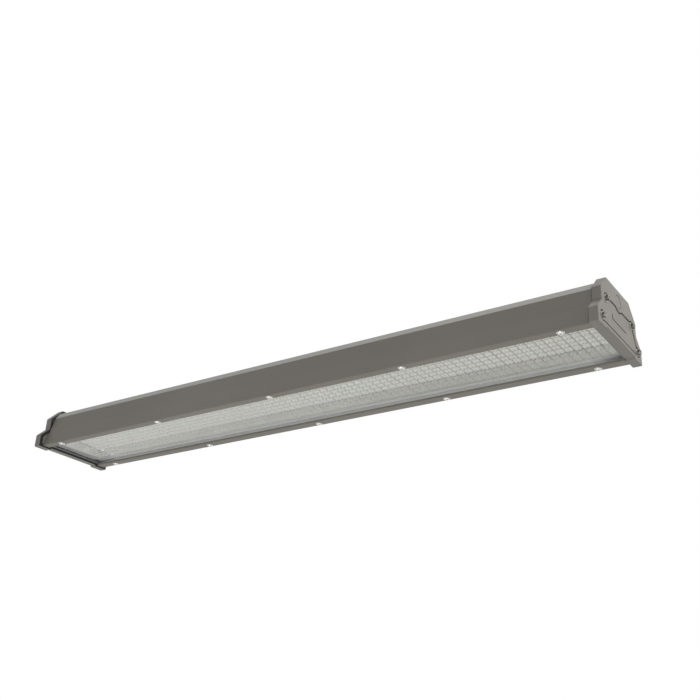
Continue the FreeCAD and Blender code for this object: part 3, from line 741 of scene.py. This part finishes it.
def lensPlate(name, node):
    # Under the plate, with u and v from -1 to 1 across a lens and r = (|u|^q + |v|^q)^(1/q), the
    # surface hangs down by tall * (1 - r^p)^s * (1 - dip * exp(-(u/w)^2)) / (the most that this
    # reaches) inside r = 1, the waisted dome that throws light wide. The plate's long edges cut the
    # outer rows before their valley. The back is flat, and a rim joins the two.
    lowest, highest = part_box(node)
    tall = lens["tall"] * mm
    plateLow = lowest.z + tall
    band = lens["edgeBand"] * mm
    stepsX, stepsY = lens["steps"]
    u = np.sin(np.linspace(-1, 1, stepsX + 1) * np.pi / 2)  # closer together near the valleys
    v = np.sin(np.linspace(-1, 1, stepsY + 1) * np.pi / 2)
    pitchX = (highest.x - lowest.x) / lens["cols"]
    pitchY = (highest.y - lowest.y - 2 * band) / lens["rows"]
    cellX = lowest.x + (np.arange(lens["cols"]) + 0.5) * pitchX
    cellY = lowest.y + band + (np.arange(lens["rows"]) + 0.5) * pitchY
    xs = np.append((cellX[:, None] + u[None, :-1] * pitchX / 2).ravel(), highest.x)
    ys = np.append((cellY[:, None] + v[None, :-1] * pitchY / 2).ravel(), highest.y - band)
    ys = np.concatenate([[lowest.y], ys, [highest.y]])
    across = np.append(np.tile(u[:-1], lens["cols"]), 1.0)[:, None]
    deep = np.concatenate([[-1.0], np.tile(v[:-1], lens["rows"]), [1.0, 1.0]])[None, :]
    deep[:, :stepsY // 2 + 2] *= lens["edgeCut"]
    deep[:, -2 - stepsY // 2:] *= lens["edgeCut"]
    q = lens["square"]
    out = np.minimum((np.abs(across) ** q + np.abs(deep) ** q) ** (1 / q), 1.0)
    waist = 1 - lens["dip"] * np.exp(-(across / lens["dipWide"]) ** 2)
    rise = (1 - out ** lens["power"]) ** lens["steep"] * waist
    gridX, gridY = np.meshgrid(xs, ys, indexing="ij")
    gridZ = plateLow - tall * rise / rise.max()
    nx, ny = gridX.shape
    under = np.stack([gridX, gridY, gridZ], axis=2).reshape(-1, 3)
    index = np.arange(nx * ny).reshape(nx, ny)
    quads = np.stack([index[:-1, :-1], index[:-1, 1:], index[1:, 1:], index[1:, :-1]], axis=2).reshape(-1, 4)
    rim = np.concatenate([index[:-1, 0], index[-1, :-1], index[:0:-1, -1], index[0, :0:-1]])
    back = under[rim].copy()
    back[:, 2] = highest.z
    backIndex = nx * ny + np.arange(len(rim))
    sides = bandCorners(rim, backIndex)
    faces = quads.tolist() + sides.tolist() + [backIndex.tolist()]
    plate = buildMesh(name, np.concatenate([under, back]), faces, "lens_plastic")
    valleyX = np.zeros(nx, bool)
    valleyX[::stepsX] = True
    valleyY = np.zeros(ny, bool)
    valleyY[[0, -1]] = True
    valleyY[1::stepsY] = True
    column = np.where(valleyX[:, None], np.arange(nx)[:, None], -1) + np.zeros((1, ny), int)
    row = np.where(valleyY[None, :], np.arange(ny)[None, :], -1) + np.zeros((nx, 1), int)
    outside = np.full(len(rim), -1)
    column, row = np.append(column.ravel(), outside), np.append(row.ravel(), outside)
    mesh = plate.data
    ends = np.zeros(len(mesh.edges) * 2, int)
    mesh.edges.foreach_get("vertices", ends)
    a, b = ends[::2], ends[1::2]
    sharp = ((column[a] == column[b]) & (column[a] >= 0)) | ((row[a] == row[b]) & (row[a] >= 0))
    sharp |= (a >= nx * ny) | (b >= nx * ny)
    crease = mesh.attributes.new("sharp_edge", "BOOLEAN", "EDGE")
    crease.data.foreach_set("value", sharp)
    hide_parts(node)
    return plate


for k in range(1, lens["modules"] + 1):
    plate = lensPlate("lens_plate_%d" % k, "lens_module_%d" % k)
print("lens plates:", lens["modules"], "of", len(plate.data.polygons), "faces")


# Screws and washers: profiles turned about an axis.

capScrew = {"headRadius": 4.35, "shank": 2.5, "tip": 0.4, "under": 0.15, "socket": 2.3, "socketDeep": 2.6,
            "lead": 0.25, "drill": 0.5, "round": 0.45, "knurls": 30, "knurlDeep": 0.03, "sides": 96}
buttonScrew = {"headRadius": 5.0, "seat": 2.2, "shank": 2.5, "socket": 1.5, "flat": 1.9, "rim": 0.6,
               "socketTop": 1.4, "drill": 0.2, "crownRows": 5, "perRail": 5}
washer = {"hole": 2.7, "endOuter": 5.3, "railOuter": 6.2, "edge": 0.12}


def spokesAbout(axis, sides):  # angles all round an axis, and the unit direction at each
    across = Vector((0, 0, 1)) if abs(axis.z) < 0.5 else Vector((1, 0, 0))
    a = np.linspace(0, 2 * np.pi, sides, endpoint=False)
    return a, np.outer(np.cos(a), across) + np.outer(np.sin(a), axis.cross(across))


def turned(profile, centre, axis, sides=48, hexRows=(), knurlRows=(), knurls=0, knurlDeep=0.0):
    # A profile of (distance along the axis, radius) turned about it: centre + axis * s + radius *
    # (e1 cos a + e2 sin a). Hexagon rows take radius / cos(a mod 60 deg - 30 deg) * cos 30 deg, and
    # knurled rows take radius * (1 - deep * |sin(knurls * a / 2)|). Both end points lie on the axis.
    profile = np.array(profile, float) * mm
    a, spokes = spokesAbout(axis, sides)
    s, r = profile[1:-1, 0][:, None], np.repeat(profile[1:-1, 1][:, None], sides, axis=1)
    flatSided = np.cos(np.pi / 6) / np.cos(np.mod(a, np.pi / 3) - np.pi / 6)
    ribbed = 1 - knurlDeep * np.abs(np.sin(knurls * a / 2))
    r[list(hexRows)] *= flatSided
    r[list(knurlRows)] *= ribbed
    body = np.array(centre) + s[:, :, None] * np.array(axis) + r[:, :, None] * spokes
    poles = np.array(centre) + profile[[0, -1], 0][:, None] * np.array(axis)
    verts = np.concatenate([body.reshape(-1, 3), poles])
    rows = len(profile) - 2
    index = np.arange(rows * sides).reshape(rows, sides)
    beside = np.roll(index, -1, axis=1)
    quads = np.stack([index[:-1], beside[:-1], beside[1:], index[1:]], axis=2).reshape(-1, 4)
    first = np.stack([np.full(sides, rows * sides), beside[0], index[0]], axis=1)
    last = np.stack([np.full(sides, rows * sides + 1), index[-1], beside[-1]], axis=1)
    return verts, quads, np.concatenate([first, last])


def joined(name, shapes, node, material):  # several turned shapes in one piece
    verts, faces, start = [], [], 0
    for points, quads, fans in shapes:
        verts.append(points)
        faces += (quads + start).tolist() + (fans + start).tolist()
        start += len(points)
    piece = buildMesh(name, np.concatenate(verts), faces, "steel_fastener", material)
    piece.data.set_sharp_from_angle(angle=sharpAngle)
    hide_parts(node)


def screwCentres(node):  # one per quarter of the end face, from the middle of that quarter's screw
    mesh = nodes[node].data
    points = np.zeros(len(mesh.vertices) * 3)
    mesh.vertices.foreach_get("co", points)
    points = points.reshape(-1, 3)
    middle = (points[:, 2].min() + points[:, 2].max()) / 2
    places = []
    for left in (True, False):
        for low in (True, False):
            here = points[((points[:, 1] < 0) == left) & ((points[:, 2] < middle) == low)]
            places.append((here[:, 1:].min(axis=0) + here[:, 1:].max(axis=0)) / 2)
    return places


def capScrewShape(way, tipX, outX, seatX, y, z):
    c = capScrew
    tall = abs(outX - seatX) / mm
    length = abs(seatX - tipX) / mm
    hr, k, deep = c["headRadius"], c["round"], tall - c["socketDeep"]
    profile = [(-length, 0), (-length, c["shank"] - c["tip"]), (-length + c["tip"], c["shank"]),
               (0, c["shank"]), (0, hr - c["under"]), (c["under"], hr), (tall - 2 * k, hr), (tall - k, hr),
               (tall - 0.3 * k, hr - 0.3 * k), (tall, hr - k), (tall, c["socket"] + c["lead"]),
               (tall - c["lead"], c["socket"]), (deep, c["socket"]), (deep - c["drill"], 0)]
    return turned(profile, (seatX, y, z), Vector((way, 0, 0)), c["sides"], hexRows=(10, 11),
                  knurlRows=(5, 6), knurls=c["knurls"], knurlDeep=c["knurlDeep"])


def buttonScrewShape(x, y, low, tip):
    b = buttonScrew
    seat, hr, deep = b["seat"], b["headRadius"], b["seat"] - b["socketTop"]
    tall = seat - low / mm
    length = tip / mm - seat
    bow = np.linspace(0, np.pi / 2, b["crownRows"] + 1)[1:]  # the crown is a quarter of an ellipse
    crown = np.column_stack([b["rim"] + (tall - b["rim"]) * np.sin(bow),
                             hr - (hr - b["flat"]) * (1 - np.cos(bow))]).tolist()
    profile = [(-length, 0), (-length, b["shank"]), (0, b["shank"]), (0, hr), (b["rim"], hr)] + crown
    profile += [(tall, b["socket"]), (deep, b["socket"]), (deep - b["drill"], 0)]
    rows = len(profile) - 2
    return turned(profile, (x, y, seat * mm), Vector((0, 0, -1)), hexRows=(rows - 2, rows - 1))


def washerShape(centre, axis, outer, thick, sides=48):
    # A flat ring with softened edges: the closed profile is carried round with no pole.
    inner, e = washer["hole"], washer["edge"]
    loop = np.array([(e, inner), (0, inner + e), (0, outer - e), (e, outer), (thick - e, outer),
                     (thick, outer - e), (thick, inner + e), (thick - e, inner)]) * mm
    s, r = loop[:, 0][:, None, None], loop[:, 1][:, None, None]
    verts = np.array(centre) + s * np.array(axis) + r * spokesAbout(axis, sides)[1]
    index = np.arange(len(loop) * sides).reshape(-1, sides)
    beside = np.roll(index, -1, axis=1)
    quads = np.stack([index, beside, np.roll(beside, -1, axis=0), np.roll(index, -1, axis=0)], axis=2)
    return verts.reshape(-1, 3), quads.reshape(-1, 4), np.zeros((0, 3), int)


brightFinish = finishes["steel_fastener"]
dullFinish = turnedSteel("stainless steel blasted", dullSteel)
for side, way in endWay.items():
    tipX, outX = (corner.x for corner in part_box("end_screws_" + side)[::way])
    faceX, seatX = (corner.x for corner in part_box("end_washers_" + side)[::way])
    thick = abs(seatX - faceX) / mm
    centres = screwCentres("end_screws_" + side)
    screws = [capScrewShape(way, tipX, outX, seatX, y, z) for y, z in centres]
    rings = [washerShape((faceX, y, z), Vector((way, 0, 0)), washer["endOuter"], thick) for y, z in centres]
    joined("cap_screws_" + side, screws, "end_screws_" + side, dullFinish)
    joined("cap_washers_" + side, rings, "end_washers_" + side, brightFinish)

for side in ("front", "rear"):
    lowest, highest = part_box("rail_screws_" + side)
    reach = buttonScrew["headRadius"] * mm
    places = np.linspace(lowest.x + reach, highest.x - reach, buttonScrew["perRail"])
    y = (lowest.y + highest.y) / 2
    washLow, washHigh = (corner.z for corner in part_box("rail_washers_" + side))
    thick = (washHigh - washLow) / mm
    screws = [buttonScrewShape(x, y, lowest.z, highest.z) for x in places]
    rings = [washerShape((x, y, washHigh), Vector((0, 0, -1)), washer["railOuter"], thick) for x in places]
    joined("button_screws_" + side, screws, "rail_screws_" + side, brightFinish)
    joined("button_washers_" + side, rings, "rail_washers_" + side, brightFinish)
print("fasteners: 8 cap screws and 10 button screws")


# Floor, lights and camera.

studio = {"floorZ": -2.0, "floorHalf": 60.0, "floor": "#F2F2F0", "floorOther": "#EEEEEC", "floorLift": 0.36,
          "ambient": 0.5, "white": 1.0}


def paleFloor():
    # Matt floor. What the eye and mirrors see of it is lifted by a constant, so that it is pale
    # without more light on the light, and keeps its shadow.
    half = studio["floorHalf"]
    square = np.array([(-half, -half), (half, -half), (half, half), (-half, half)])
    mesh = bpy.data.meshes.new("floor")
    mesh.from_pydata(np.column_stack([square, np.full(4, studio["floorZ"])]).tolist(), [], [(0, 1, 2, 3)])
    floor = bpy.data.objects.new("floor", mesh)
    bpy.context.scene.collection.objects.link(floor)
    material, tree, place = startMaterial("matt studio floor")
    cloud = addNode(tree, "ShaderNodeTexNoise", {"Scale": 0.8}, {"Vector": place})
    colour = addNode(tree, "ShaderNodeMix", tones(studio["floor"], studio["floorOther"]),
                     {0: cloud.outputs[0]})
    path = addNode(tree, "ShaderNodeLightPath")
    seen = addNode(tree, "ShaderNodeMath", {"operation": "ADD", "use_clamp": True},
                   {0: path.outputs["Is Camera Ray"], 1: path.outputs["Is Glossy Ray"]})
    lift = addNode(tree, "ShaderNodeMath", {"operation": "MULTIPLY", 1: studio["floorLift"]},
                   {0: seen.outputs[0]})
    closeMaterial(tree, {"Roughness": 0.9}, {"Base Color": colour.outputs[2],
                                             "Emission Color": colour.outputs[2],
                                             "Emission Strength": lift.outputs[0]})
    mesh.materials.append(material)


def studioWorld():  # white to the eye and in mirrors, softer as a light
    world = bpy.data.worlds.new("studio")
    bpy.context.scene.world = world
    world.use_nodes = True
    tree = world.node_tree
    tree.nodes.clear()
    path = addNode(tree, "ShaderNodeLightPath")
    seen = addNode(tree, "ShaderNodeMath", {"operation": "ADD"},
                   {0: path.outputs["Is Camera Ray"], 1: path.outputs["Is Glossy Ray"]})
    seen = addNode(tree, "ShaderNodeMath", {"operation": "ADD", "use_clamp": True},
                   {0: seen.outputs[0], 1: path.outputs["Is Transmission Ray"]})
    level = addNode(tree, "ShaderNodeMapRange", {3: studio["ambient"], 4: studio["white"]},
                    {0: seen.outputs[0]})
    sky = addNode(tree, "ShaderNodeBackground", {"Color": (1, 1, 1, 1)}, {"Strength": level.outputs[0]})
    addNode(tree, "ShaderNodeOutputWorld", links={"Surface": sky.outputs[0]})


lamps = {
    "overhead": {"at": (0.1, 0.55, 2.3), "aim": (0, 0, 0.05), "size": (2.4, 1.2), "power": 17.0},
    "right": {"at": (2.7, 0.5, 1.0), "aim": (0.3, 0, 0.04), "size": (1.4, 1.4), "power": 46.0},
    "low": {"at": (0.5, -1.65, -1.55), "aim": (0, 0, 0.02), "size": (0.8, 0.5), "power": 14.0},
    "under": {"at": (-0.9, 0.3, -1.8), "aim": (0, 0, 0.02), "size": (0.5, 0.35), "power": 4.0},
}


def softLamp(name, at, aim, size, power):
    light = bpy.data.lights.new(name, "AREA")
    light.shape = "RECTANGLE"
    light.size, light.size_y = size
    light.energy = power
    lamp = bpy.data.objects.new(name, light)
    lamp.visible_camera = False
    bpy.context.scene.collection.objects.link(lamp)
    turn = (Vector(at) - Vector(aim)).to_track_quat("Z", "Y").to_matrix().to_4x4()
    lamp.matrix_world = Matrix.Translation(at) @ turn


view = {"at": (0.9991, -1.2578, -0.6052), "yaw": -35.18, "pitch": 24.51, "roll": 2.76, "lens": 49.72,
        "sensor": 36.0}


def setCamera():  # forward from yaw and pitch, then turned by roll about it
    yaw, pitch, roll = (math.radians(view[k]) for k in ("yaw", "pitch", "roll"))
    forward = Vector((math.sin(yaw) * math.cos(pitch), math.cos(yaw) * math.cos(pitch), math.sin(pitch)))
    right = Vector((math.cos(yaw), -math.sin(yaw), 0))
    up = right.cross(forward)
    sideways = math.cos(roll) * right + math.sin(roll) * up
    upward = -math.sin(roll) * right + math.cos(roll) * up
    data = bpy.data.cameras.new("camera")
    data.lens, data.sensor_width = view["lens"], view["sensor"]
    camera = bpy.data.objects.new("camera", data)
    bpy.context.scene.collection.objects.link(camera)
    turn = Matrix((sideways, upward, -forward)).transposed().to_4x4()
    camera.matrix_world = Matrix.Translation(view["at"]) @ turn
    bpy.context.scene.camera = camera


paleFloor()
studioWorld()
for name, lamp in lamps.items():
    softLamp(name, **lamp)
setCamera()
bpy.context.scene.view_settings.view_transform = "Standard"
print("studio ready")
